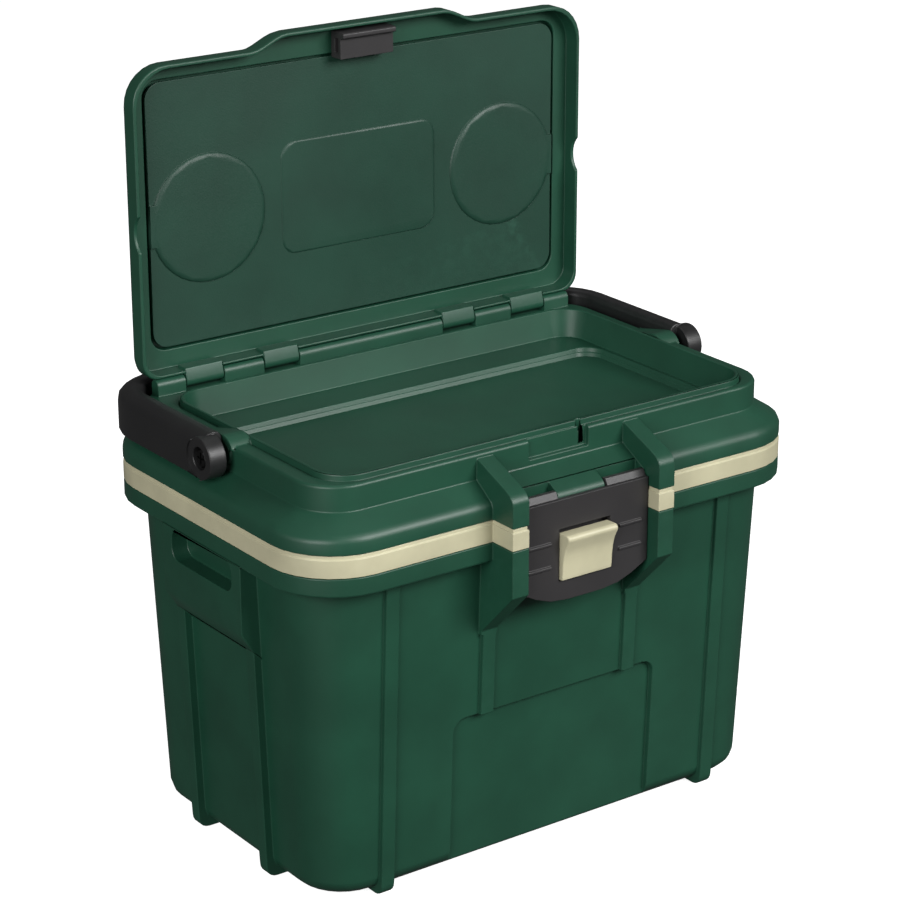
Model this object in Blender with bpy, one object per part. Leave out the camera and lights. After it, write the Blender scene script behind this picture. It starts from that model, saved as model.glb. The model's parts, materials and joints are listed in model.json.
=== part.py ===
"""A small hard-sided cooler chest with a storage tray under a second lid.

The design is written in millimetres and Shape.build turns it into Blender's metres.
x runs to the right, y to the back and z up. The design frame has z = 0 at the top of
the green tub flange and y = 0 in the middle of the tub; the Frame empty lifts it so
that the feet stand on the world's z = 0 and the whole box is centred on x = y = 0.
"""

import math

import bmesh
import bpy
from mathutils import Matrix

MM = 0.001
GAP = 0.3
CORNER_STEPS = 7

# The frame's place in the world.
FLOOR = 206.8
TUB_Y = 4.2

# Tub.
RIM_X = 175.0
RIM_Y = 115.0
RIM_RADIUS = 41.5
FLANGE_LOW = -11.5
WALL_X = 164.7
WALL_Y = 104.7
WALL_RADIUS = 36.0
DRAFT_X = 0.036
DRAFT_Y = 0.044
SHELL = 3.0
BASE_LOW = -203.6
BASE_ROUND = 10.0
LINER_X = 135.0
LINER_Y = 75.0
LINER_RADIUS = 26.0
LINER_WALL = 2.5
LINER_FLOOR = -172.0
LINER_RIM = 12.4
BAND_TOP = 12.7
BAND_IN = 8.6

# Ribs and feet: inner and outer edge, then how far they stand off the wall.
OUTER_RIB = (113.0, 122.0)
INNER_RIB = (46.5, 55.5)
FRONT_RIB_RISE = 2.6
SIDE_RIB_Y = 37.4
SIDE_RIB_WIDTH = 8.0
SIDE_RIB_RISE = 5.0
FOOT_DEPTH = 20.0
FOOT_ROUND = 7.0
PLATE_X = 72.5
PLATE_TOP = -110.0
PLATE_DEPTH = 3.5

# Side grips.
GRIP_Y = 41.5
GRIP_LOW = -52.0
POCKET_Y = 32.0
POCKET_Z = (-30.0, -11.3)
POCKET_FLOOR_X = 164.4

# Latch towers, one part on the tub and one on the lid.
TOWER = (45.7, 57.0)
TOWER_FRONT = -133.3

# Latch.
LATCH_X = 45.0
LATCH_FRONT = -124.5
LATCH_SKIN = 3.0
LATCH_BACK = -116.4
LATCH_TOP = 18.8
EAR_TOP = 22.3
LATCH_PIN = (-120.5, -26.0)
LATCH_PIN_RADIUS = 2.0
BUTTON_X = 17.6
BUTTON_Z = (-29.3, -1.0)
BUTTON_BACK = -122.0

# Main lid.
LID_LOW = 13.0
LEDGE_OUT = 24.5
LEDGE_IN = 32.0
DECK_X = 159.0
DECK_Y = 100.0
DECK_RADIUS = 26.0
DECK_TOP = 47.2
LIP_X = 147.6
LIP_FRONT = -95.0
LIP_BACK = 78.0
LIP_TOP = 50.5
LIP_RADIUS = 20.0
TRAY_FLOOR = 28.0
TRAY_STEP = 33.0
MAIN_AXIS = (120.3, 13.0)
MAIN_KNUCKLE = 4.6
MAIN_PIN_RADIUS = 2.0

# Tray lid. u runs from its hinge towards its free edge, w from its underside up.
TRAY_AXIS = (87.8, 53.0)
LID_X = 158.0
LID_NEAR = 3.8
LID_FAR = 187.0
LID_BUMP = 8.0
BUMP_X = (55.0, 80.0)
LID_FREE_RADIUS = 22.0
LID_HINGE_RADIUS = 11.0
SKIRT_LOW = -2.0
SKIRT_WALL = 2.2
PANEL_LOW = 9.0
LID_HIGH = 16.2
CUP_X = 105.0
CUP_U = 91.5
CUP_PAD_RADIUS = 38.5
CUP_WELL_RADIUS = 34.2
KNUCKLE_RADIUS = 3.9
TRAY_PIN_RADIUS = 1.3

# Carrying handle.
HANDLE_PIVOT = (-4.0, 41.5)
HANDLE_IN_X = 161.0
HANDLE_IN_Y = 101.0
HANDLE_THICK = 15.0
HANDLE_EYE = 12.3

# Colours (linear), roughness and metallic value of each material.
MATERIALS = {
    "green": ((0.016, 0.066, 0.038, 1.0), 0.45, 0.0),
    "tan": ((0.55, 0.47, 0.31, 1.0), 0.5, 0.0),
    "black": ((0.022, 0.022, 0.023, 1.0), 0.5, 0.0),
    "liner": ((0.55, 0.56, 0.55, 1.0), 0.4, 0.0),
    "foam": ((0.75, 0.66, 0.42, 1.0), 0.9, 0.0),
    "rubber": ((0.015, 0.015, 0.016, 1.0), 0.8, 0.0),
    "steel": ((0.55, 0.55, 0.56, 1.0), 0.3, 1.0),
}


def clear_scene():
    for item in list(bpy.data.objects):
        bpy.data.objects.remove(item, do_unlink=True)


def material(name):
    if name in bpy.data.materials:
        return bpy.data.materials[name]
    colour, roughness, metallic = MATERIALS[name]
    made = bpy.data.materials.new(name)
    made.use_nodes = True
    shader = made.node_tree.nodes["Principled BSDF"]
    shader.inputs["Base Color"].default_value = colour
    shader.inputs["Roughness"].default_value = roughness
    shader.inputs["Metallic"].default_value = metallic
    made.diffuse_color = colour
    return made


def empty(name, place=(0, 0, 0), turn=(0, 0, 0), parent=None):
    """An empty on a joint's axis. place is in the parent's millimetres."""
    made = bpy.data.objects.new(name, None)
    bpy.context.scene.collection.objects.link(made)
    made.location = [value * MM for value in place]
    made.rotation_euler = turn
    made.parent = parent
    return made


# Outlines, all anticlockwise seen from above.


def arc(centre, radius, start, stop, steps=CORNER_STEPS):
    """Points on a circle, from start to stop degrees."""
    points = []
    for step in range(steps + 1):
        angle = math.radians(start + (stop - start) * step / steps)
        points.append(
            (centre[0] + radius * math.cos(angle), centre[1] + radius * math.sin(angle))
        )
    return points


def box_outline(low, high, radius, steps=CORNER_STEPS):
    """A rectangle from corner low to corner high with round corners."""
    corners = (
        ((high[0] - radius, high[1] - radius), 0),
        ((low[0] + radius, high[1] - radius), 90),
        ((low[0] + radius, low[1] + radius), 180),
        ((high[0] - radius, low[1] + radius), 270),
    )
    points = []
    for centre, start in corners:
        points += arc(centre, radius, start, start + 90, steps)
    return points


def centred_outline(half_x, half_y, radius):
    return box_outline((-half_x, -half_y), (half_x, half_y), max(radius, 1.0))


def rim_outline(inset):
    return centred_outline(RIM_X - inset, RIM_Y - inset, RIM_RADIUS - inset)


def wall_outline(z, inset=0.0):
    """The tub's drafted outside wall at height z, moved in by inset."""
    in_x, in_y = inset - DRAFT_X * z, inset - DRAFT_Y * z
    return centred_outline(WALL_X - in_x, WALL_Y - in_y, WALL_RADIUS - 0.35 * (in_x + in_y))


def deck_outline(inset):
    return centred_outline(DECK_X - inset, DECK_Y - inset, DECK_RADIUS - inset)


def lip_outline(inset):
    return box_outline(
        (-LIP_X + inset, LIP_FRONT + inset),
        (LIP_X - inset, LIP_BACK - inset),
        max(LIP_RADIUS - inset, 4.0),
    )


def smooth(value):
    value = min(max(value, 0.0), 1.0)
    return value * value * (3 - 2 * value)


def lid_outline(inset):
    """The tray lid seen from above: two round corner sizes and a bump on the free edge."""
    half = LID_X - inset
    points = arc((half - LID_HINGE_RADIUS, -LID_NEAR - inset - LID_HINGE_RADIUS), LID_HINGE_RADIUS, 0, 90)
    points += arc((LID_HINGE_RADIUS - half, -LID_NEAR - inset - LID_HINGE_RADIUS), LID_HINGE_RADIUS, 90, 180)
    radius = LID_FREE_RADIUS
    points += arc((radius - half, radius + inset - LID_FAR), radius, 180, 270)
    slope = [BUMP_X[1] - (BUMP_X[1] - BUMP_X[0]) * step / 6 for step in range(7)]
    for x in slope:
        rise = LID_BUMP * smooth((BUMP_X[1] - x) / (BUMP_X[1] - BUMP_X[0]))
        points.append((-x, inset - LID_FAR - rise))
    for x in reversed(slope):
        rise = LID_BUMP * smooth((BUMP_X[1] - x) / (BUMP_X[1] - BUMP_X[0]))
        points.append((x, inset - LID_FAR - rise))
    points += arc((half - radius, radius + inset - LID_FAR), radius, 270, 360)
    return points


def panel_outline(inset):
    """The rectangle of the tray lid's inner panel, with as many points as lid_outline."""
    points = box_outline((-146 + inset, -176.6 + inset), (146 - inset, -17 - inset), 10.0)
    spare = len(lid_outline(0)) - len(points)
    after = 3 * (CORNER_STEPS + 1)
    left, right = points[after - 1], points[after]
    extra = []
    for step in range(1, spare + 1):
        share = step / (spare + 1)
        extra.append((left[0] + (right[0] - left[0]) * share, left[1]))
    return points[:after] + extra + points[after:]


class Shape:
    """A mesh in millimetres, made of one or more closed bodies."""

    def __init__(self):
        self.mesh = bmesh.new()

    def loft(self, sections, place=None):
        """One closed body through outlines of equal length. Each section is (outline, height)."""
        place = place or Matrix()
        rings = []
        for outline, height in sections:
            rings.append([self.mesh.verts.new(place @ vector3(x, y, height)) for x, y in outline])
        faces = [self.mesh.faces.new(rings[0][::-1]), self.mesh.faces.new(rings[-1])]
        for low, high in zip(rings, rings[1:]):
            for index in range(len(low)):
                after = (index + 1) % len(low)
                faces.append(self.mesh.faces.new((low[index], low[after], high[after], high[index])))
        return faces

    def box(self, low, high):
        corners = [(low[0], low[1]), (high[0], low[1]), (high[0], high[1]), (low[0], high[1])]
        self.loft([(corners, low[2]), (corners, high[2])])

    def prism_x(self, outline, start, stop):
        """An outline of (y, z) points carried along x from start to stop."""
        self.loft([(outline, start), (outline, stop)], AXIS_X)

    def prism_y(self, outline, start, stop):
        """An outline of (z, x) points carried along y from start to stop."""
        self.loft([(outline, start), (outline, stop)], AXIS_Y)

    def rod(self, centre, radius, start, stop, steps=16):
        """A round bar along x. centre is (y, z)."""
        self.prism_x(circle(centre, radius, steps), start, stop)

    def build(self, name, finish=None, parent=None, smooth_angle=35):
        """The finished object, in metres, under its parent."""
        bmesh.ops.recalc_face_normals(self.mesh, faces=self.mesh.faces)
        bmesh.ops.scale(self.mesh, vec=(MM, MM, MM), verts=self.mesh.verts)
        data = bpy.data.meshes.new(name)
        self.mesh.to_mesh(data)
        self.mesh.free()
        made = bpy.data.objects.new(name, data)
        bpy.context.scene.collection.objects.link(made)
        made.parent = parent
        if finish:
            data.materials.append(material(finish))
            data.shade_smooth()
            data.set_sharp_from_angle(angle=math.radians(smooth_angle))
        return made


def vector3(x, y, z):
    return Matrix.Translation((x, y, z)).translation


# These carry a flat outline's (first, second, height) to (x, y, z).
AXIS_X = Matrix(((0, 0, 1, 0), (1, 0, 0, 0), (0, 1, 0, 0), (0, 0, 0, 1)))
AXIS_Y = Matrix(((0, 1, 0, 0), (0, 0, 1, 0), (1, 0, 0, 0), (0, 0, 0, 1)))


def circle(centre, radius, steps=16):
    return arc(centre, radius, 0, 360 * (steps - 1) / steps, steps - 1)


def both_sides(start, stop):
    """The span start..stop and its mirror image."""
    return ((start, stop), (-stop, -start))


def helper(shape, name, parent):
    """A hidden object that a Boolean adds or takes away."""
    made = shape.build(name, parent=parent)
    made.hide_render = True
    made.display_type = "WIRE"
    return made


def combine(target, shape, operation):
    """Adds the shape to the target, or cuts it away, and keeps the shape as a hidden helper."""
    name = f"{target.name}_{operation.lower()}_{len(target.modifiers)}"
    boolean = target.modifiers.new(name, "BOOLEAN")
    boolean.operation = operation
    boolean.solver = "EXACT"
    boolean.object = helper(shape, name, target.parent)
    return boolean


def add(target, shape):
    combine(target, shape, "UNION")


def cut(target, shape):
    combine(target, shape, "DIFFERENCE")


# Tub.


def wall_y(z, rise=0.0):
    """How far the front wall stands from the middle at height z."""
    return WALL_Y + DRAFT_Y * z + rise


def wall_x(z, rise=0.0):
    return WALL_X + DRAFT_X * z + rise


def foot_curve(face):
    """(distance from the middle, z) down a rib's outer face, round its foot and back up behind it."""
    middle = (face - FOOT_ROUND, FOOT_ROUND - FLOOR)
    points = arc(middle, FOOT_ROUND, 0, -90, 5)
    points += [(face - FOOT_DEPTH + 2.0, -FLOOR), (face - FOOT_DEPTH, 2.0 - FLOOR)]
    return points + [(face - FOOT_DEPTH, BASE_LOW + 1.5)]


def front_rib(shape, start, stop, top, foot):
    """A drafted rib on the front wall, carried down into a foot if foot is true."""
    out = FRONT_RIB_RISE
    turn = BASE_LOW + BASE_ROUND
    outline = [(-wall_y(top, out), top), (-wall_y(turn, out), turn)]
    if foot:
        outline += [(-y, z) for y, z in foot_curve(wall_y(BASE_LOW, out))]
        outline.append((-wall_y(BASE_LOW) + BASE_ROUND + 0.5, BASE_LOW + 1.5))
    outline += [(-wall_y(turn) + 1.5, turn), (-wall_y(top) + 1.5, top)]
    for low, high in both_sides(start, stop):
        shape.prism_x(outline, low, high)


def back_rib(shape, start, stop):
    """The same rib with its foot on the back wall."""
    before = len(shape.mesh.verts)
    front_rib(shape, start, stop, FLANGE_LOW + 2, True)
    shape.mesh.verts.ensure_lookup_table()
    turned = shape.mesh.verts[before:]
    bmesh.ops.rotate(shape.mesh, cent=(0, 0, 0), matrix=Matrix.Rotation(math.pi, 3, "Z"), verts=turned)


def side_rib(shape, middle, side):
    """A rib below the grip on a side wall, carried down into a foot."""
    low, high = middle - SIDE_RIB_WIDTH / 2, middle + SIDE_RIB_WIDTH / 2
    out = SIDE_RIB_RISE
    turn = BASE_LOW + BASE_ROUND
    outline = [
        (wall_x(GRIP_LOW) - 1.5, GRIP_LOW),
        (wall_x(GRIP_LOW, out), GRIP_LOW),
        (wall_x(turn, out), turn),
    ]
    outline += foot_curve(wall_x(BASE_LOW, out))
    outline += [(wall_x(BASE_LOW) - BASE_ROUND - 0.5, BASE_LOW + 1.5), (wall_x(turn) - 1.5, turn)]
    shape.prism_y([(z, side * x) for x, z in outline], low, high)


def tub_profile():
    """Outside of the shell from the base up, over the flange and down the inside."""
    sections = []
    for step in range(4):
        angle = math.radians(90 * step / 3)
        z = BASE_LOW + BASE_ROUND * (1 - math.sin(angle))
        sections.append((wall_outline(z, BASE_ROUND * (1 - math.cos(angle))), z))
    sections.sort(key=lambda section: section[1])
    sections += [
        (wall_outline(FLANGE_LOW), FLANGE_LOW),
        (rim_outline(1.0), FLANGE_LOW),
        (rim_outline(0.0), FLANGE_LOW + 1.0),
        (rim_outline(0.0), -GAP),
        (rim_outline(SHELL), -GAP),
        (rim_outline(SHELL), FLANGE_LOW + SHELL),
        (wall_outline(FLANGE_LOW, SHELL), FLANGE_LOW + SHELL),
        (wall_outline(BASE_LOW + 14.5, SHELL), BASE_LOW + 14.5),
        (wall_outline(BASE_LOW + 4, SHELL + 10.5), BASE_LOW + 4),
    ]
    return sections


def plate_backing(margin):
    """The thicker patch behind the front panel's recess."""
    shape = Shape()
    side = PLATE_X + 4 + margin
    top, low = PLATE_TOP + 4 + margin, BASE_LOW + 12 - margin
    reach = PLATE_DEPTH + SHELL + margin
    outline = [
        (-wall_y(top) + 1.5, top),
        (-wall_y(low) + 1.5, low),
        (-wall_y(low) + reach, low),
        (-wall_y(top) + reach, top),
    ]
    shape.prism_x(outline, -side, side)
    return shape


def make_tub_shell(parent):
    shape = Shape()
    shape.loft(tub_profile())
    shell = shape.build("tub_shell", "green", parent)

    ribs = Shape()
    front_rib(ribs, *OUTER_RIB, FLANGE_LOW + 2, True)
    back_rib(ribs, *OUTER_RIB)
    for side in (-1, 1):
        for middle in (-SIDE_RIB_Y, SIDE_RIB_Y):
            side_rib(ribs, middle, side)
    add(shell, ribs)

    towers = Shape()
    tower = [
        (-wall_y(-60) + 1.6, -60.0),
        (-wall_y(-5) + 1.6, FLANGE_LOW + 2),
        (-RIM_Y + 1.5, FLANGE_LOW + 2),
        (-RIM_Y + 1.5, -GAP),
        (TOWER_FRONT, -GAP),
        (TOWER_FRONT, -28.0),
        (-wall_y(-57, FRONT_RIB_RISE), -57.0),
        (-wall_y(-60, FRONT_RIB_RISE), -60.0),
    ]
    for low, high in both_sides(*TOWER):
        towers.prism_x(tower, low, high)
    add(shell, towers)

    strips = Shape()
    front_rib(strips, *INNER_RIB, -56.0, False)
    for side in (-1, 1):
        grip = [
            (wall_x(-8) - 1.6, FLANGE_LOW + 1.0),
            (RIM_X - 0.1, FLANGE_LOW + 1.0),
            (RIM_X - 0.1, GRIP_LOW),
            (wall_x(-64, SIDE_RIB_RISE) + 0.3, -63.5),
            (wall_x(-70) - 1.0, -70.0),
            (wall_x(-70) - 1.6, -69.0),
        ]
        strips.prism_y([(z, side * x) for x, z in grip], -GRIP_Y, GRIP_Y)
    add(shell, strips)
    add(shell, plate_backing(0.0))

    knuckles = Shape()
    knuckle = [(113.4, -11.0), (117.0, -11.4), (123.6, 1.0)]
    knuckle += arc(MAIN_AXIS, MAIN_KNUCKLE, 0, 180, 8)
    knuckle += [(115.5, 8.0), (115.5, -GAP), (113.4, -GAP - 0.2)]
    for start, stop in ((80.0, 90.0), (110.0, 120.0)):
        for low, high in both_sides(start, stop):
            knuckles.prism_x(knuckle, low, high)
    add(shell, knuckles)

    holes = Shape()
    for side in (-1, 1):
        pocket = box_outline((POCKET_Z[0], -POCKET_Y), (POCKET_Z[1], POCKET_Y), 7.0, 4)
        outline = [(y, z) for z, y in pocket][::-1]
        holes.prism_x(outline, *sorted((side * POCKET_FLOOR_X, side * (RIM_X + 5))))
        holes.rod(LATCH_PIN, LATCH_PIN_RADIUS + 0.35, *sorted((side * 40.0, side * 55.6)))
        holes.rod(MAIN_AXIS, MAIN_PIN_RADIUS + 0.35, *sorted((side * 78.0, side * 122.0)))
    cut(shell, holes)

    recess = Shape()
    low, high = -PLATE_X, PLATE_X
    radius = 8.0
    outline = arc((PLATE_TOP - radius, high - radius), radius, 90, 0, 4)
    outline += arc((PLATE_TOP - radius, low + radius), radius, 0, -90, 4)
    outline += [(BASE_LOW - 9, low), (BASE_LOW - 9, high)]
    lean = math.atan(DRAFT_Y)
    recess.prism_y(outline, -140.0, -WALL_Y + PLATE_DEPTH)
    bmesh.ops.rotate(
        recess.mesh,
        cent=(0, -WALL_Y + PLATE_DEPTH, 0),
        matrix=Matrix.Rotation(lean, 3, "X"),
        verts=recess.mesh.verts,
    )
    cut(shell, recess)
    return shell


def make_tub_foam(parent):
    shape = Shape()
    low = BASE_LOW + 4 + GAP
    shape.loft(
        [
            (wall_outline(low, SHELL + 11.2), low),
            (wall_outline(BASE_LOW + 15.2, SHELL + 0.8), BASE_LOW + 15.2),
            (wall_outline(FLANGE_LOW, SHELL + 0.6), FLANGE_LOW + 2),
            (wall_outline(FLANGE_LOW, SHELL + 0.6), LINER_RIM - 3.0),
            (liner_outline(LINER_RIM, LINER_WALL + 0.4), LINER_RIM - 3.0),
            (liner_outline(LINER_FLOOR, LINER_WALL + 0.4), LINER_FLOOR - LINER_WALL - 0.4),
        ]
    )
    foam = shape.build("tub_foam", "foam", parent)
    cut(foam, plate_backing(GAP))


def liner_outline(z, inset=0.0):
    """The drafted inside of the tub liner; a positive inset grows it outwards."""
    shrink = 0.022 * (LINER_RIM - z) - inset
    return centred_outline(LINER_X - shrink, LINER_Y - shrink, LINER_RADIUS - 0.7 * shrink)


def make_tub_liner(parent):
    shape = Shape()
    edge = BAND_IN + 0.5
    shape.loft(
        [
            (liner_outline(LINER_FLOOR, LINER_WALL - 3), LINER_FLOOR - LINER_WALL),
            (liner_outline(LINER_FLOOR, LINER_WALL), LINER_FLOOR),
            (liner_outline(LINER_RIM, LINER_WALL), LINER_RIM - 2.5),
            (rim_outline(edge), LINER_RIM - 2.5),
            (rim_outline(edge), LINER_RIM),
            (liner_outline(LINER_RIM), LINER_RIM),
            (liner_outline(LINER_FLOOR), LINER_FLOOR + 6),
            (liner_outline(LINER_FLOOR, -6), LINER_FLOOR),
        ]
    )
    shape.build("tub_liner", "liner", parent)


def make_accent_band(parent):
    """The tan trim ring between tub and lid, stepping out round the latch towers."""
    shape = Shape()
    shape.loft(
        [
            (rim_outline(0.0), 0.0),
            (rim_outline(0.0), BAND_TOP - 2.2),
            (rim_outline(0.8), BAND_TOP - 2.0),
            (rim_outline(0.8), BAND_TOP),
        ]
    )
    band = shape.build("accent_band", "tan", parent)
    jogs = Shape()
    for low, high in both_sides(*TOWER):
        jogs.box((low, TOWER_FRONT, 0.0), (high, -RIM_Y + 3, BAND_TOP - 2.2))
        jogs.box((low + 0.8, TOWER_FRONT + 0.8, BAND_TOP - 3), (high - 0.8, -RIM_Y + 3, BAND_TOP))
    boolean = combine(band, jogs, "UNION")
    boolean.use_self = True
    hole = Shape()
    hole.loft([(rim_outline(BAND_IN), -1.0), (rim_outline(BAND_IN), BAND_TOP + 1)])
    cut(band, hole)


def make_pins(tub, lid):
    """Steel pins of the latch, the main hinge and the tray lid's hinge."""
    for side, name in ((-1, "left"), (1, "right")):
        pin = Shape()
        pin.rod(LATCH_PIN, LATCH_PIN_RADIUS, *sorted((side * 41.0, side * 55.2)))
        pin.build(f"latch_pin_{name}", "steel", tub)
        pin = Shape()
        pin.rod(MAIN_AXIS, MAIN_PIN_RADIUS, *sorted((side * 80.4, side * 119.6)))
        pin.build(f"main_hinge_pin_{name}", "steel", tub)
        pin = Shape()
        pin.rod(TRAY_AXIS, TRAY_PIN_RADIUS, *sorted((side * 40.0, side * 149.0)), steps=12)
        pin.build(f"tray_hinge_pin_{name}", "steel", lid)


# Main lid.


def lid_profile():
    """From the tray's floor out over the top, down the skirt and back under it."""
    return [
        (step_outline(0.0), TRAY_FLOOR),
        (step_outline(-1.5), TRAY_STEP),
        (lip_outline(5.5), TRAY_STEP),
        (lip_outline(2.6), LIP_TOP - 0.6),
        (lip_outline(2.0), LIP_TOP),
        (lip_outline(0.6), LIP_TOP),
        (lip_outline(0.0), LIP_TOP - 0.6),
        (lip_outline(0.0), DECK_TOP - 0.8),
        (lip_outline(-1.0), DECK_TOP - 0.8),
        (lip_outline(-1.2), DECK_TOP),
        (deck_outline(2.0), DECK_TOP),
        (deck_outline(0.6), DECK_TOP - 0.6),
        (deck_outline(0.0), DECK_TOP - 2.0),
        (deck_outline(0.0), LEDGE_IN),
        (rim_outline(4.0), LEDGE_OUT),
        (rim_outline(1.2), LEDGE_OUT - 1.8),
        (rim_outline(0.0), LEDGE_OUT - 5.0),
        (rim_outline(0.0), LID_LOW),
        (rim_outline(SHELL), LID_LOW),
        (rim_outline(SHELL), LEDGE_OUT - 5.0),
        (rim_outline(4.0 + SHELL), LEDGE_OUT - 2.6),
        (deck_outline(SHELL), LEDGE_IN - 2.4),
        (deck_outline(SHELL), DECK_TOP - SHELL),
        (deck_outline(5.2), DECK_TOP - SHELL),
        (lip_outline(6.5), TRAY_STEP - 2.5),
        (step_outline(-0.4), TRAY_STEP - 2.5),
        (step_outline(1.4), TRAY_FLOOR - 2.5),
    ]


def step_outline(inset):
    """The edge of the tray's deep floor: close to the sides, far from the back."""
    return box_outline((-138.0 + inset, -86.0 + inset), (138.0 - inset, 46.0 - inset), 12.0)


def make_lid_shell(parent):
    shape = Shape()
    shape.loft(lid_profile())
    shell = shape.build("lid_shell", "green", parent)

    block = Shape()
    apron = [
        (-103.6, LID_LOW),
        (-103.6, 19.2),
        (-99.5, 26.0),
        (-99.5, 32.2),
        (-112.0, 25.6),
        (-118.5, 22.0),
        (-120.3, 20.3),
        (-121.1, 18.2),
        (-121.1, LID_LOW + 0.4),
        (-120.0, LID_LOW),
    ]
    block.prism_x(apron, -46.5, 46.5)
    add(shell, block)

    towers = Shape()
    tower = [
        (-104.0, LID_LOW),
        (-104.0, 19.2),
        (-98.0, 28.0),
        (-98.0, 44.4),
        (-101.0, 44.0),
        (-125.0, 34.2),
    ]
    tower += [(-129.6, 32.0), (-132.3, 29.4), (TOWER_FRONT, 26.6), (TOWER_FRONT, LID_LOW)]
    for low, high in both_sides(*TOWER):
        towers.prism_x(tower, low, high)
    add(shell, towers)

    details = Shape()
    for side in (-1, 1):
        eye = circle(HANDLE_PIVOT, 7.0, 20)
        details.prism_x(eye, *sorted((side * 149.3, side * (HANDLE_IN_X - 0.5))))
        knuckle = [(113.2, 23.6), (113.2, LID_LOW + 1.0), (115.4, LID_LOW + 0.8)]
        knuckle += arc(MAIN_AXIS, MAIN_KNUCKLE, 180, 360, 8)
        knuckle += [(124.2, 18.0), (117.0, 23.0)]
        details.prism_x(knuckle, *sorted((side * 90.5, side * 109.5)))
    add(shell, details)

    bosses = Shape()
    boss = [(-13.0, DECK_TOP - 2.4), (22.0, DECK_TOP - 2.4), (22.0, DECK_TOP - 0.4)]
    boss += arc(HANDLE_PIVOT, 10.6, 75, 155, 8)
    for low, high in both_sides(147.1, HANDLE_IN_X - 0.6):
        bosses.prism_x(boss, low, high)
    add(shell, bosses)

    knuckles = Shape()
    radius = KNUCKLE_RADIUS
    y, z = TRAY_AXIS
    web = [(y - radius, DECK_TOP - 1.5), (y + radius, DECK_TOP - 1.5)]
    web += arc(TRAY_AXIS, radius, 0, 180, 8)
    knuckles.prism_x(web, -52.3, 52.3)
    for start, stop in ((77.3, 104.7), (131.0, 150.0)):
        for low, high in both_sides(start, stop):
            knuckles.prism_x(web, low, high)
    add(shell, knuckles)

    holes = Shape()
    for low, high in both_sides(16.7, 45.5):
        holes.box((low, -140.0, 5.0), (high, -111.8, 45.0))
    holes.box((-16.6, -140.0, 5.0), (16.6, -121.15, 45.0))
    holes.box((-21.0, -104.0, 35.5), (21.0, -97.2, 60.0))
    for side in (-1, 1):
        holes.rod(HANDLE_PIVOT, 2.6, *sorted((side * 151.5, side * 165.0)))
        holes.rod(MAIN_AXIS, MAIN_PIN_RADIUS + 0.35, *sorted((side * 88.0, side * 112.0)))
    holes.rod(TRAY_AXIS, TRAY_PIN_RADIUS + 0.35, -149.4, 149.4, 12)
    cut(shell, holes)

    slot = Shape()
    slot.box((15.5, -104.3, 37.0), (18.9, -93.8, 60.4))
    cut(shell, slot)
    return shell


def make_lid_inside(parent):
    """Liner with its plug, the foam over it and the gasket round the plug."""
    plug_x, plug_y, plug_low = 131.5, 71.5, -6.0
    flange_low, flange_high = 16.0, 18.5
    flange = centred_outline(171.0, 103.0, 34.0)
    shape = Shape()
    shape.loft(
        [
            (centred_outline(plug_x - 3, plug_y - 3, 20), plug_low),
            (centred_outline(plug_x, plug_y, 22), plug_low + 3),
            (centred_outline(plug_x, plug_y, 22), flange_low),
            (flange, flange_low),
            (flange, flange_high),
            (centred_outline(plug_x - 2.5, plug_y - 2.5, 20), flange_high),
            (centred_outline(plug_x - 2.5, plug_y - 2.5, 20), plug_low + 3.6),
            (centred_outline(plug_x - 4, plug_y - 4, 18), plug_low + 2.5),
        ]
    )
    shape.build("lid_liner", "liner", parent)

    shape = Shape()
    inside = centred_outline(plug_x - 4.4, plug_y - 4.4, 18)
    shape.loft(
        [
            (inside, plug_low + 3.0),
            (inside, flange_high + GAP),
            (centred_outline(154.0, 95.0, 22), flange_high + GAP),
            (centred_outline(154.0, 95.0, 22), TRAY_FLOOR - 2.5 - GAP),
        ]
    )
    shape.build("lid_foam", "foam", parent)

    outer, inner = centred_outline(152.0, 92.0, 30), centred_outline(145.0, 85.0, 24)
    shape, hole = Shape(), Shape()
    shape.loft([(outer, LINER_RIM + GAP), (outer, flange_low - GAP)])
    hole.loft([(inner, LINER_RIM - 1.0), (inner, flange_low + 1.0)])
    gasket = shape.build("lid_gasket", "rubber", parent)
    cut(gasket, hole)


# Latch.


def latch_outline(inset=0.0, top=LATCH_TOP):
    """The latch plate seen from the front as (z, x): straight sides and a bowed lower edge."""
    side = LATCH_X - inset
    low = [(-31.4, side), (-37.0, side - 11), (-40.6, 24.0), (-42.0, 12.0)]
    low = [(z + inset, x) for z, x in low]
    mirrored = [(z, -x) for z, x in reversed(low)]
    return mirrored + [(top - inset, -side), (top - inset, side)] + low


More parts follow.
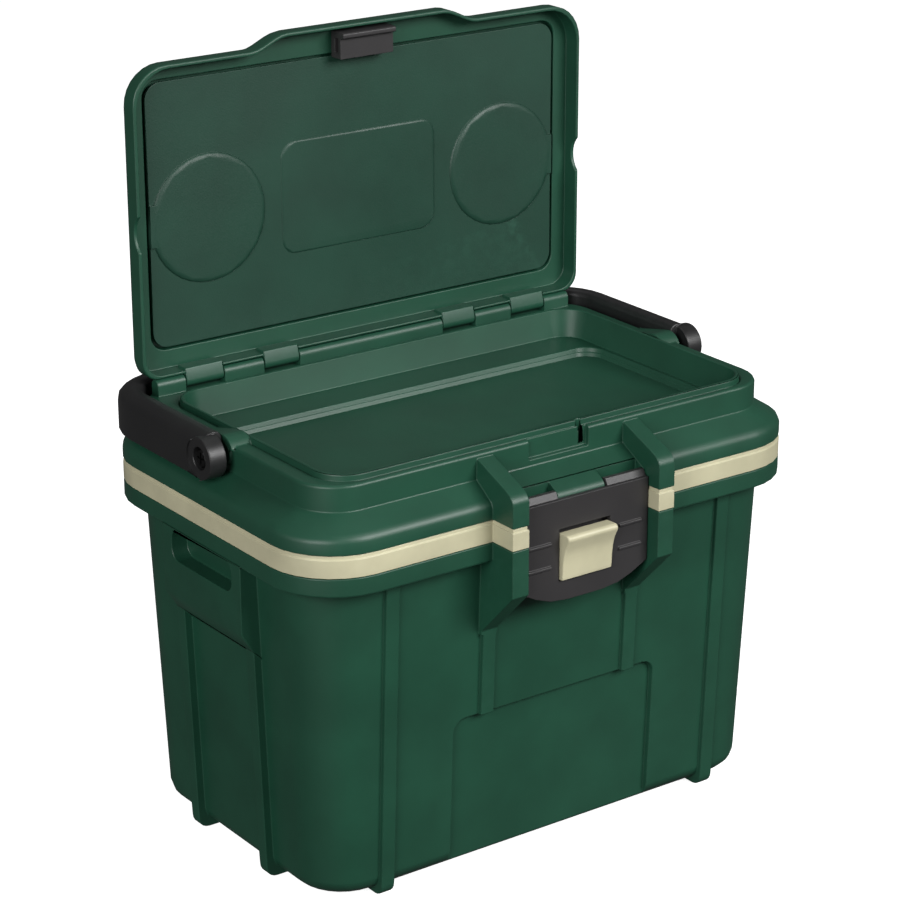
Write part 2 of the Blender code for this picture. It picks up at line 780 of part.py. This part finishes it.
def make_latch(parent):
    """The plate, with its pin holes, window and slot for the lid's tongue."""
    origin = empty_offset(parent)
    shape = Shape()
    shape.prism_y(latch_outline(), LATCH_FRONT, LATCH_FRONT + LATCH_SKIN)
    plate = shape.build("latch_plate", "black", origin)

    body = Shape()
    for low, high in both_sides(42.4, LATCH_X - 0.01):
        side = [
            (LATCH_FRONT + 1.5, -31.0),
            (LATCH_BACK, -31.0),
            (LATCH_BACK, EAR_TOP - 1),
            (LATCH_BACK - 1, EAR_TOP),
            (LATCH_FRONT + 4.4, EAR_TOP),
            (LATCH_FRONT + 1.5, LATCH_TOP - 1.5),
        ]
        body.prism_x(side, low, high)
    for low, high in both_sides(17.3, 43.0):
        ear = [
            (LATCH_FRONT + 1.5, 14.0),
            (LATCH_BACK, 14.0),
            (LATCH_BACK, EAR_TOP - 1),
            (LATCH_BACK - 1, EAR_TOP),
            (LATCH_FRONT + 4.4, EAR_TOP),
            (LATCH_FRONT + 1.5, LATCH_TOP - 1.5),
        ]
        body.prism_x(ear, low, high)
    boolean = combine(plate, body, "UNION")
    boolean.use_self = True

    ribs = Shape()
    for low, high in both_sides(24.0, 40.0):
        for z in (-20.0, -6.0):
            ribs.prism_x(
                [
                    (LATCH_FRONT + 1, z - 1.6),
                    (LATCH_FRONT + 1, z + 1.6),
                    (LATCH_FRONT - 1.2, z + 0.7),
                    (LATCH_FRONT - 1.2, z - 0.7),
                ],
                low,
                high,
            )
    add(plate, ribs)

    holes = Shape()
    window_top = BUTTON_Z[1] + 2.4
    window = [(BUTTON_Z[0] - 0.5, -BUTTON_X - 0.5), (window_top, -BUTTON_X - 0.5)]
    window += [(window_top, BUTTON_X + 0.5), (BUTTON_Z[0] - 0.5, BUTTON_X + 0.5)]
    holes.prism_y(window, LATCH_FRONT - 3, LATCH_FRONT + LATCH_SKIN + 1)
    for side in (-1, 1):
        holes.rod(LATCH_PIN, LATCH_PIN_RADIUS + 0.35, *sorted((side * 40.0, side * 46.0)))
    cut(plate, holes)

    backing = Shape()
    backing.box((-42.0, LATCH_BACK - 1.6, -30.6), (42.0, LATCH_BACK, 11.4))
    back = backing.build("latch_back", "black", origin)
    posts = Shape()
    for low, high in both_sides(22.0, 27.0):
        posts.box((low, LATCH_FRONT + LATCH_SKIN + GAP, -12.0), (high, LATCH_BACK - 1.0, 6.0))
    add(back, posts)

    button_parent = empty("LatchButtonSlide", parent=origin)
    shape = Shape()
    low, high = BUTTON_Z
    face = [
        (BUTTON_BACK, low),
        (BUTTON_BACK, high - 0.4),
        (-130.6, high),
        (-132.4, high - 1.3),
        (-132.2, high - 3.6),
        (-129.6, high - 8.5),
        (-128.3, high - 13.5),
        (-127.5, high - 19.0),
        (-127.2, low + 3.0),
        (-126.9, low + 0.8),
        (-126.2, low),
    ]
    shape.prism_x(face[::-1], -BUTTON_X, BUTTON_X)
    button = shape.build("latch_button", "tan", button_parent)
    well = Shape()
    middle = (low + high) / 2
    well.prism_y(circle((middle, 0.0), 4.4, 14), BUTTON_BACK - 4.0, BUTTON_BACK + 2)
    cut(button, well)
    start, stop = BUTTON_BACK - 4.0 + GAP, LATCH_BACK - 1.6 - GAP
    make_spring("latch_button_spring", (0.0, middle), 3.2, 0.45, start, stop, origin)


def empty_offset(parent):
    """An empty under a joint's empty that brings its children back to the design frame."""
    made = empty(parent.name + "Parts", parent=parent)
    made.location = [-value for value in parent.location]
    return made


def make_spring(name, centre, radius, wire, start, stop, parent, turns=4):
    """A compression spring along y, as one bar with a round section and closed ends."""
    curve = bpy.data.curves.new(name, "CURVE")
    curve.dimensions = "3D"
    curve.bevel_depth = wire * MM
    curve.bevel_resolution = 1
    curve.use_fill_caps = True
    per_turn = 12
    count = turns * per_turn + 1
    spline = curve.splines.new("POLY")
    spline.points.add(count - 1)
    first, last = start + wire, stop - wire
    for index in range(count):
        angle = 2 * math.pi * index / per_turn
        x = centre[0] + radius * math.cos(angle)
        z = centre[1] + radius * math.sin(angle)
        y = first + (last - first) * index / (count - 1)
        spline.points[index].co = (x * MM, y * MM, z * MM, 1.0)
    curve.materials.append(material("steel"))
    made = bpy.data.objects.new(name, curve)
    bpy.context.scene.collection.objects.link(made)
    made.parent = parent
    return made


# Handle.


def handle_path(offset):
    """The handle's line at this distance from its inner face, from one pivot round to the other."""
    radius = DECK_RADIUS + offset
    x, y = HANDLE_IN_X - DECK_RADIUS, HANDLE_IN_Y - DECK_RADIUS
    right = [(HANDLE_IN_X + offset, HANDLE_PIVOT[0])]
    right += arc((x, y), radius, 0, 90)
    return right + [(-px, py) for px, py in reversed(right)]


def make_handle(parent):
    origin = empty_offset(parent)
    section = (
        (0.6, 33.2),
        (0.0, 35.0),
        (0.0, 51.0),
        (0.8, 53.2),
        (2.6, 54.7),
        (5.2, 55.2),
        (8.0, 54.8),
        (12.6, 52.4),
        (14.5, 50.4),
        (HANDLE_THICK, 48.0),
        (HANDLE_THICK, 30.8),
        (HANDLE_THICK - 0.8, 29.2),
        (HANDLE_THICK - 2.4, 28.8),
    )
    shape = Shape()
    lines = [[(x, y, z) for x, y in handle_path(offset)] for offset, z in section]
    stations = len(lines[0])
    rings = [[shape.mesh.verts.new(line[index]) for line in lines] for index in range(stations)]
    shape.mesh.faces.new(rings[0])
    shape.mesh.faces.new(rings[-1][::-1])
    for first, second in zip(rings, rings[1:]):
        for index in range(len(first)):
            after = (index + 1) % len(first)
            shape.mesh.faces.new((first[index], second[index], second[after], first[after]))
    handle = shape.build("carry_handle", "black", origin)

    eyes = Shape()
    for side in (-1, 1):
        eyes.prism_x(circle(HANDLE_PIVOT, HANDLE_EYE, 28), *sorted((side * 165.4, side * 176.2)))
    add(handle, eyes)
    holes = Shape()
    for side in (-1, 1):
        holes.prism_x(circle(HANDLE_PIVOT, 6.6, 20), *sorted((side * 172.2, side * 180.0)))
        holes.rod(HANDLE_PIVOT, 4.4, *sorted((side * 158.0, side * 173.0)))
    boolean = combine(handle, holes, "DIFFERENCE")
    boolean.use_self = True


def make_handle_fasteners(parent):
    """A screw through a bush on each side, both fixed to the main lid."""
    for side, name in ((-1, "left"), (1, "right")):
        bush = Shape()
        bush.prism_x(circle(HANDLE_PIVOT, 4.0, 16), *sorted((side * 161.0, side * 172.0)))
        made = bush.build(f"handle_bush_{name}", "steel", parent)
        hole = Shape()
        hole.rod(HANDLE_PIVOT, 2.6, *sorted((side * 158.0, side * 176.0)), steps=12)
        cut(made, hole)
        screw = Shape()
        head = [(0.0, 2.2), (20.6, 2.2), (20.6, 5.6), (22.2, 5.6), (23.0, 4.6)]
        start = 152.0
        sections = []
        for along, radius in head:
            sections.append((circle(HANDLE_PIVOT, radius, 12), side * (start + along)))
        if side < 0:
            sections.reverse()
        screw.loft(sections, AXIS_X)
        screw_object = screw.build(f"handle_screw_{name}", "steel", parent)
        slot = Shape()
        y, z = HANDLE_PIVOT
        reach = sorted((side * (start + 21.9), side * (start + 25)))
        slot.box((reach[0], y - 3.4, z - 0.6), (reach[1], y + 3.4, z + 0.6))
        slot.box((reach[0] + 0.01, y - 0.6, z - 3.4), (reach[1] - 0.01, y + 0.6, z + 3.4))
        boolean = combine(screw_object, slot, "DIFFERENCE")
        boolean.use_self = True


# Tray lid, written in (x, -u, w) under an empty on its hinge.


def make_tray_lid(parent):
    shape = Shape()
    shape.loft(
        [
            (panel_outline(0.0), LID_HIGH - 2.5),
            (panel_outline(0.0), PANEL_LOW),
            (lid_outline(SKIRT_WALL), PANEL_LOW),
            (lid_outline(SKIRT_WALL), SKIRT_LOW),
            (lid_outline(0.4), SKIRT_LOW),
            (lid_outline(0.0), SKIRT_LOW + 0.8),
            (lid_outline(0.0), 7.4),
            (lid_outline(1.4), 11.2),
            (lid_outline(4.4), 14.6),
            (lid_outline(8.0), LID_HIGH),
        ]
    )
    shell = shape.build("tray_lid_shell", "green", parent)

    wells = Shape()
    for side in (-1, 1):
        wells.loft(
            [
                (circle((side * CUP_X, -CUP_U), CUP_WELL_RADIUS + 2, 36), PANEL_LOW + 0.2),
                (circle((side * CUP_X, -CUP_U), CUP_WELL_RADIUS + 2, 36), LID_HIGH - 1.5),
            ]
        )
    phone = box_outline((-54.0, -128.0), (54.0, -60.0), 10.0, 4)
    wells.loft([(phone, PANEL_LOW + 2.1), (phone, LID_HIGH - 1.5)])
    add(shell, wells)

    knuckles = Shape()
    radius = KNUCKLE_RADIUS
    web = [(-7.5, SKIRT_LOW + 0.2), (-1.0, -radius + 0.1)]
    web += arc((0.0, 0.0), radius, -70, 90, 8)
    web += [(-1.0, radius + 1.0), (-7.5, radius + 3.0)]
    for start, stop in ((52.8, 76.8), (105.2, 130.5)):
        for low, high in both_sides(start, stop):
            knuckles.prism_x(web, low, high)
    add(shell, knuckles)

    holes = Shape()
    for side in (-1, 1):
        holes.loft(
            [
                (circle((side * CUP_X, -CUP_U), CUP_WELL_RADIUS, 36), PANEL_LOW + 1.9),
                (circle((side * CUP_X, -CUP_U), CUP_WELL_RADIUS + 0.4, 36), LID_HIGH + 2),
            ]
        )
        pivot = (HANDLE_PIVOT[0] - TRAY_AXIS[0], HANDLE_PIVOT[1] - TRAY_AXIS[1])
        holes.prism_x(circle(pivot, 14.3, 36), *sorted((side * 152.0, side * 162.0)))
    tray = box_outline((-52.0, -126.0), (52.0, -62.0), 8.0, 4)
    holes.loft([(tray, PANEL_LOW + 3.3), (tray, LID_HIGH + 2)])
    cut(shell, holes)

    gaps = Shape()
    reach = KNUCKLE_RADIUS + 0.5
    gaps.box((-52.7, -reach, -6.0), (52.7, 8.0, reach))
    for start, stop in ((76.9, 105.1), (130.6, 150.4)):
        for low, high in both_sides(start, stop):
            gaps.box((low, -reach, -6.0), (high, 8.0, reach))
    cut(shell, gaps)
    bore = Shape()
    bore.rod((0.0, 0.0), TRAY_PIN_RADIUS + 0.35, -134.0, 134.0, 12)
    cut(shell, bore)
    mount = Shape()
    mount.box((-13.5, -191.3, SKIRT_LOW - 1), (13.5, -180.0, 3.2))
    cut(shell, mount)
    make_tray_panel(parent)


def make_tray_panel(parent):
    """The lid's inner panel, with a raised pad under each cup well."""
    shape = Shape()
    shape.loft([(panel_outline(1.6), PANEL_LOW), (panel_outline(1.6), PANEL_LOW + 1.8)])
    panel = shape.build("tray_lid_panel", "green", parent)
    pads = Shape()
    for side in (-1, 1):
        place = (side * CUP_X, -CUP_U)
        pads.loft(
            [
                (circle(place, CUP_PAD_RADIUS - 2.6, 36), PANEL_LOW - 1.6),
                (circle(place, CUP_PAD_RADIUS - 0.9, 36), PANEL_LOW - 1.1),
                (circle(place, CUP_PAD_RADIUS, 36), PANEL_LOW - 0.1),
                (circle(place, CUP_PAD_RADIUS, 36), PANEL_LOW + 1.0),
            ]
        )
    middle = box_outline((-55.0, -128.0), (55.0, -60.0), 10.0, 5)
    inner = box_outline((-54.0, -127.0), (54.0, -61.0), 9.0, 5)
    pads.loft([(inner, PANEL_LOW - 0.9), (middle, PANEL_LOW - 0.2), (middle, PANEL_LOW + 1.0)])
    add(panel, pads)
    bridges = Shape()
    for low, high in both_sides(CUP_X + 30.0, 144.2):
        bridges.box((low, -104.5, PANEL_LOW - 1.2), (high, -79.5, PANEL_LOW + 0.9))
    add(panel, bridges)
    wells = Shape()
    for side in (-1, 1):
        place = (side * CUP_X, -CUP_U)
        radius = CUP_WELL_RADIUS + 2.4
        wells.loft([(circle(place, radius, 36), PANEL_LOW - 0.1), (circle(place, radius, 36), PANEL_LOW + 5)])
    cut(panel, wells)


def make_tray_snap(parent):
    """The black snap under the lid's free edge, on its short slide."""
    slide = empty("TraySnapSlide", parent=parent)
    shape = Shape()
    block = [
        (-174.4, PANEL_LOW - 0.4),
        (-190.4, PANEL_LOW - 0.4),
        (-190.4, -3.4),
        (-189.6, -4.6),
        (-187.4, -4.6),
        (-186.8, -3.6),
        (-186.8, -1.4),
        (-174.4, -1.4),
    ]
    shape.prism_x(block, -18.6, 18.6)
    catch = shape.build("tray_snap_catch", "black", slide)
    grooves = Shape()
    for side in (-1, 1):
        low, high = sorted((side * 15.4, side * 20.0))
        grooves.box((low, -186.6, 1.2), (high, -178.0, 4.6))
    cut(catch, grooves)


def main():
    clear_scene()
    root = empty("Frame", (0.0, TUB_Y, FLOOR))
    tub = empty("Tub", parent=root)
    lid_axis = empty("MainLidAxis", (0.0, *MAIN_AXIS), parent=tub)
    lid = empty_offset(lid_axis)
    latch_axis = empty("LatchAxis", (0.0, *LATCH_PIN), parent=tub)
    handle_axis = empty("HandleAxis", (0.0, *HANDLE_PIVOT), parent=lid)
    tray_axis = empty("TrayLidAxis", (0.0, *TRAY_AXIS), (-math.pi / 2, 0.0, 0.0), lid)

    make_tub_shell(tub)
    make_tub_foam(tub)
    make_tub_liner(tub)
    make_accent_band(tub)
    make_lid_shell(lid)
    make_lid_inside(lid)
    make_pins(tub, lid)
    make_latch(latch_axis)
    make_handle(handle_axis)
    make_handle_fasteners(lid)
    make_tray_lid(tray_axis)
    make_tray_snap(tray_axis)
    bpy.context.view_layer.update()


main()
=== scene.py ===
"""Looks for the small cooler chest: finer edges, moulded plastics, studio and camera."""

import json
import math

import bmesh
import bpy
from mathutils import Matrix, Vector


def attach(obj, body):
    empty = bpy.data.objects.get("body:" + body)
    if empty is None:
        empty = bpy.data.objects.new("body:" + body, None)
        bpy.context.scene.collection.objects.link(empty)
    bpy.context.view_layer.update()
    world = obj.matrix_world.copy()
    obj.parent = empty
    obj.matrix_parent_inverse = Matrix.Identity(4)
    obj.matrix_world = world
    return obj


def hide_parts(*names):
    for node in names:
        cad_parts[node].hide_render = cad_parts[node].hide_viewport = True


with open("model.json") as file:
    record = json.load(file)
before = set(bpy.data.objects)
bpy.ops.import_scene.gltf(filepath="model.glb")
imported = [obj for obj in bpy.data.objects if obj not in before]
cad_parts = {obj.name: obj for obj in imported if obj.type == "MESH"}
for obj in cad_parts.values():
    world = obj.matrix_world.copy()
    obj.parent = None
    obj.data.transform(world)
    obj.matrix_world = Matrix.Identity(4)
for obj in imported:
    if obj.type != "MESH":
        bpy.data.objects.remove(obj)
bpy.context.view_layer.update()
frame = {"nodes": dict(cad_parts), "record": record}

NODES = frame["nodes"]
BODIES = frame["record"]["behaviour"]["bodies"]
BODY_OF = {node: body for body, nodes in BODIES.items() for node in nodes}
SLOT_OF = {row["node"]: row["material_slot"] for row in frame["record"]["subparts"]}

# The camera: where it looks from, its turn about the view line and its lens.
AZIMUTH = math.radians(-35.74)
ELEVATION = math.radians(20.20)
ROLL = math.radians(-0.12)
DISTANCE = 1.6985
SHIFT_RIGHT, SHIFT_UP = -0.0025, 0.0069
TUB_MIDDLE = Vector((0.0, 0.0042, 0.2068))
LENS_MM = 115.23
SENSOR_MM = 36.0
CLIP_START = 0.05

# Edge rounding of each node, in metres; a node that isn't named takes the default.
EDGE_DEFAULT = 0.0005
EDGE_WIDTH = {
    "tub_shell": 0.0007,
    "lid_shell": 0.0006,
    "tray_lid_shell": 0.0006,
    "carry_handle": 0.0008,
    "latch_plate": 0.0003,
    "tray_lid_panel": 0.0002,
    "latch_button": 0.0009,
    "accent_band": 0.0004,
    "tray_snap_catch": 0.0004,
}
BEVEL_ANGLE = math.radians(38)
BEVEL_SEGMENTS = 2
SAME_POINT = 1e-6
FLAT_ANGLE = math.radians(0.4)

# Nodes with any of these words in their names keep the CAD shape and take only a material.
SHOWN_AS_CAD = ("pin", "spring", "screw", "bush", "foam", "liner", "gasket")

# These keep their own faces, because merged ones came out with black wedges when bevelled.
KEEP_FACES = ("tray_lid_panel", "latch_plate")

# The studio. Ambient is the strength of the surroundings for everything but the camera.
FLOOR_HALF = 6.0
FLOOR_DROP = 0.0002
FLOOR_GLOW = 0.8
LIGHT_AIM_HEIGHT = 0.22
AMBIENT = 0.07
# Soft boxes: name, azimuth from the front towards +X, elevation, distance, size and power.
LIGHTS = (
    ("Key", 22.0, 30.0, 3.0, (1.7, 1.3), 100.0),
    ("Fill", -62.0, 20.0, 3.0, (1.5, 1.5), 66.0),
    ("Top", 150.0, 70.0, 2.6, (1.6, 1.6), 5.0),
)


def make_camera():
    back = Vector(
        (
            math.sin(AZIMUTH) * math.cos(ELEVATION),
            -math.cos(AZIMUTH) * math.cos(ELEVATION),
            math.sin(ELEVATION),
        )
    )
    right = Vector((math.cos(AZIMUTH), math.sin(AZIMUTH), 0.0))
    up = back.cross(right)
    rolled = right * math.cos(ROLL) + up * math.sin(ROLL)
    risen = back.cross(rolled)
    data = bpy.data.cameras.new("Camera")
    data.lens = LENS_MM
    data.sensor_width = SENSOR_MM
    data.clip_start = CLIP_START
    camera = bpy.data.objects.new("Camera", data)
    bpy.context.scene.collection.objects.link(camera)
    place = TUB_MIDDLE + back * DISTANCE + right * SHIFT_RIGHT + up * SHIFT_UP
    turn = Matrix((rolled, risen, back)).transposed().to_4x4()
    camera.matrix_world = Matrix.Translation(place) @ turn
    bpy.context.scene.camera = camera


# Materials.


class Nodes:
    """A material's node tree, with short calls for making and joining nodes."""

    def __init__(self, name):
        self.material = bpy.data.materials.new(name)
        self.material.use_nodes = True
        self.tree = self.material.node_tree
        self.shader = self.tree.nodes["Principled BSDF"]
        self.place = self.new("ShaderNodeTexCoord").outputs["Object"]

    def new(self, kind, **settings):
        node = self.tree.nodes.new(kind)
        for key, value in settings.items():
            setattr(node, key, value)
        return node

    def join(self, output, target):
        self.tree.links.new(output, target)

    def sum_or_product(self, operation, first, second):
        node = self.new("ShaderNodeMath", operation=operation)
        self.join(first, node.inputs[0])
        self.join(second, node.inputs[1])
        return node.outputs[0]

    def noise(self, scale, detail=3.0, roughness=0.5):
        node = self.new("ShaderNodeTexNoise")
        node.inputs["Scale"].default_value = scale
        node.inputs["Detail"].default_value = detail
        node.inputs["Roughness"].default_value = roughness
        self.join(self.place, node.inputs["Vector"])
        return node.outputs["Fac"]

    def ramp(self, factor, stops):
        node = self.new("ShaderNodeValToRGB")
        ramp = node.color_ramp
        while len(ramp.elements) < len(stops):
            ramp.elements.new(0.5)
        for element, (position, colour) in zip(ramp.elements, stops):
            element.position = position
            element.color = (*colour, 1.0)
        self.join(factor, node.inputs["Fac"])
        return node.outputs["Color"]

    def span(self, factor, low, high, start, stop):
        """Maps start..stop of the factor onto low..high."""
        node = self.new("ShaderNodeMapRange")
        ends = {"From Min": start, "From Max": stop, "To Min": low, "To Max": high}
        for key, value in ends.items():
            node.inputs[key].default_value = value
        self.join(factor, node.inputs["Value"])
        return node.outputs["Result"]

    def mix(self, factor, first, second):
        node = self.new("ShaderNodeMix", data_type="RGBA")
        self.join(factor, node.inputs[0])
        for socket, value in ((node.inputs[6], first), (node.inputs[7], second)):
            if isinstance(value, tuple):
                socket.default_value = (*value, 1.0)
            else:
                self.join(value, socket)
        return node.outputs[2]

    def bump(self, heights):
        """Bumps one over another. heights is a list of (output, distance in metres, strength)."""
        last = None
        for height, distance, strength in heights:
            node = self.new("ShaderNodeBump")
            node.inputs["Distance"].default_value = distance
            node.inputs["Strength"].default_value = strength
            self.join(height, node.inputs["Height"])
            if last:
                self.join(last, node.inputs["Normal"])
            last = node.outputs["Normal"]
        self.join(last, self.shader.inputs["Normal"])


def moulded_plastic(name, colour, worn, roughness, grain_mm, grain_depth):
    """Injection-moulded plastic: fine texture, slight flow mottling and paler rubbed edges."""
    n = Nodes(name)
    mottle = n.noise(22.0, 4.0, 0.55)
    cloud = n.noise(5.0, 2.0, 0.5)
    dark = tuple(value * 0.9 for value in colour)
    light = tuple(value * 1.1 for value in colour)
    base = n.ramp(mottle, [(0.35, dark), (0.65, light)])
    edge = n.new("ShaderNodeNewGeometry").outputs["Pointiness"]
    rub = n.span(edge, 0.0, 1.0, 0.53, 0.62)
    patchy = n.span(n.noise(160.0, 4.0, 0.7), 0.0, 0.5, 0.42, 0.66)
    wear = n.sum_or_product("MULTIPLY", rub, patchy)
    n.join(n.mix(wear, base, worn), n.shader.inputs["Base Color"])
    grain = n.noise(1000.0 / grain_mm, 2.0, 0.6)
    blotch = n.span(cloud, roughness - 0.05, roughness + 0.05, 0.3, 0.7)
    speck = n.span(grain, -0.04, 0.04, 0.3, 0.7)
    n.join(n.sum_or_product("ADD", blotch, speck), n.shader.inputs["Roughness"])
    n.bump([(mottle, 0.0004, 0.15), (grain, grain_depth, 0.6)])
    return n.material


def brushed_steel():
    n = Nodes("stainless_steel")
    n.shader.inputs["Metallic"].default_value = 1.0
    streaks = n.noise(600.0, 3.0, 0.7)
    greys = [(0.3, (0.42, 0.42, 0.43)), (0.7, (0.62, 0.62, 0.63))]
    n.join(n.ramp(streaks, greys), n.shader.inputs["Base Color"])
    n.join(n.span(streaks, 0.25, 0.42, 0.3, 0.7), n.shader.inputs["Roughness"])
    n.bump([(streaks, 0.00003, 0.4)])
    return n.material


def dark_steel():
    """Black-finished screws."""
    n = Nodes("dark_steel")
    n.shader.inputs["Metallic"].default_value = 1.0
    n.shader.inputs["Base Color"].default_value = (0.035, 0.035, 0.036, 1.0)
    n.join(n.span(n.noise(500.0), 0.35, 0.5, 0.3, 0.7), n.shader.inputs["Roughness"])
    return n.material


def foam_material():
    n = Nodes("foam_cells")
    cells = n.new("ShaderNodeTexVoronoi")
    cells.inputs["Scale"].default_value = 700.0
    n.join(n.place, cells.inputs["Vector"])
    distance = cells.outputs["Distance"]
    creams = [(0.0, (0.5, 0.42, 0.24)), (0.8, (0.78, 0.68, 0.43))]
    n.join(n.ramp(distance, creams), n.shader.inputs["Base Color"])
    n.shader.inputs["Roughness"].default_value = 0.9
    n.bump([(distance, 0.0003, 0.6)])
    return n.material


def make_materials():
    """One material for each slot of the record, and a dark finish for the handle's screws."""
    worn_green = (0.022, 0.085, 0.055)
    # Each plastic: colour, colour where rubbed, roughness, grain size in mm, grain depth in m.
    plastics = {
        "green_shell": ((0.0094, 0.058, 0.0325), worn_green, 0.46, 0.45, 0.00003),
        "green_panel": ((0.0086, 0.043, 0.0265), worn_green, 0.5, 0.9, 0.00012),
        "tan_trim": ((0.495, 0.468, 0.315), (0.58, 0.55, 0.4), 0.45, 0.4, 0.00003),
        "black_handle": ((0.013, 0.013, 0.0135), (0.04, 0.04, 0.04), 0.4, 0.5, 0.00004),
        "black_latch": ((0.026, 0.0245, 0.0255), (0.06, 0.06, 0.06), 0.48, 0.4, 0.00003),
        "liner": ((0.56, 0.57, 0.56), (0.66, 0.66, 0.65), 0.3, 0.8, 0.00003),
        "gasket": ((0.02, 0.02, 0.02), (0.04, 0.04, 0.04), 0.7, 0.5, 0.00005),
    }
    made = {name: moulded_plastic(name, *values) for name, values in plastics.items()}
    made.update(foam=foam_material(), steel=brushed_steel(), dark_steel=dark_steel())
    return made


# Finer pieces.


def finer(name, material):
    """The node's own shape with clean faces, smooth rounds and softened edges."""
    source = NODES[name]
    mesh = bmesh.new()
    mesh.from_mesh(source.data)
    bmesh.ops.transform(mesh, matrix=source.matrix_world, verts=mesh.verts)
    bmesh.ops.remove_doubles(mesh, verts=mesh.verts, dist=SAME_POINT)
    if name not in KEEP_FACES:
        bmesh.ops.dissolve_limit(
            mesh,
            angle_limit=FLAT_ANGLE,
            verts=mesh.verts,
            edges=mesh.edges,
            use_dissolve_boundaries=False,
        )
    data = bpy.data.meshes.new(name + "_fine")
    mesh.to_mesh(data)
    mesh.free()
    data.materials.append(material)
    data.shade_smooth()
    piece = bpy.data.objects.new(name + "_fine", data)
    bpy.context.scene.collection.objects.link(piece)
    bevel = piece.modifiers.new("Edges", "BEVEL")
    bevel.limit_method = "ANGLE"
    bevel.angle_limit = BEVEL_ANGLE
    bevel.width = EDGE_WIDTH.get(name, EDGE_DEFAULT)
    bevel.segments = BEVEL_SEGMENTS
    bevel.use_clamp_overlap = False
    bevel.harden_normals = False
    bevel.miter_outer = "MITER_ARC"
    normals = piece.modifiers.new("Normals", "WEIGHTED_NORMAL")
    normals.keep_sharp = True
    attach(piece, BODY_OF[name])
    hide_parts(name)


def dress_nodes(materials):
    for name, node in NODES.items():
        # The handle's screws and bushes are finished dark.
        finish = "dark_steel" if name.startswith("handle_") else SLOT_OF[name]
        material = materials[finish]
        if any(word in name for word in SHOWN_AS_CAD):
            node.data.materials.clear()
            node.data.materials.append(material)
            continue
        finer(name, material)


# Studio.


def make_floor():
    data = bpy.data.meshes.new("floor")
    half = FLOOR_HALF
    corners = [(-half, -half, 0), (half, -half, 0), (half, half, 0), (-half, half, 0)]
    data.from_pydata(corners, [], [(0, 1, 2, 3)])
    floor = bpy.data.objects.new("floor", data)
    floor.location.z = -FLOOR_DROP
    bpy.context.scene.collection.objects.link(floor)
    n = Nodes("pale_floor")
    n.shader.inputs["Base Color"].default_value = (0.9, 0.9, 0.9, 1.0)
    n.shader.inputs["Roughness"].default_value = 0.8
    n.shader.inputs["Specular IOR Level"].default_value = 0.1
    n.shader.inputs["Emission Color"].default_value = (1.0, 1.0, 1.0, 1.0)
    n.shader.inputs["Emission Strength"].default_value = FLOOR_GLOW
    data.materials.append(n.material)
    floor.visible_glossy = False
    floor.visible_diffuse = False


def area_light(name, place, target, size, power):
    data = bpy.data.lights.new(name, "AREA")
    data.shape = "RECTANGLE"
    data.size, data.size_y = size
    data.energy = power
    light = bpy.data.objects.new(name, data)
    bpy.context.scene.collection.objects.link(light)
    light.location = place
    direction = Vector(target) - Vector(place)
    light.rotation_euler = direction.to_track_quat("-Z", "Y").to_euler()


def make_studio():
    """White surroundings for the camera, and soft boxes that light the object against dim ones."""
    bpy.context.scene.view_settings.view_transform = "Standard"
    make_floor()
    world = bpy.data.worlds.new("Studio")
    bpy.context.scene.world = world
    world.use_nodes = True
    tree = world.node_tree
    background = tree.nodes["Background"]
    background.inputs["Color"].default_value = (1.0, 1.0, 1.0, 1.0)
    seen = tree.nodes.new("ShaderNodeLightPath").outputs["Is Camera Ray"]
    strength = tree.nodes.new("ShaderNodeMapRange")
    strength.inputs["To Min"].default_value = AMBIENT
    strength.inputs["To Max"].default_value = 1.0
    tree.links.new(seen, strength.inputs["Value"])
    tree.links.new(strength.outputs["Result"], background.inputs["Strength"])
    middle = (0.0, 0.0, LIGHT_AIM_HEIGHT)
    for name, azimuth, elevation, distance, size, power in LIGHTS:
        flat = distance * math.cos(math.radians(elevation))
        height = LIGHT_AIM_HEIGHT + distance * math.sin(math.radians(elevation))
        turn = math.radians(azimuth)
        place = (flat * math.sin(turn), -flat * math.cos(turn), height)
        area_light(name, place, middle, size, power)


make_camera()
make_studio()
dress_nodes(make_materials())
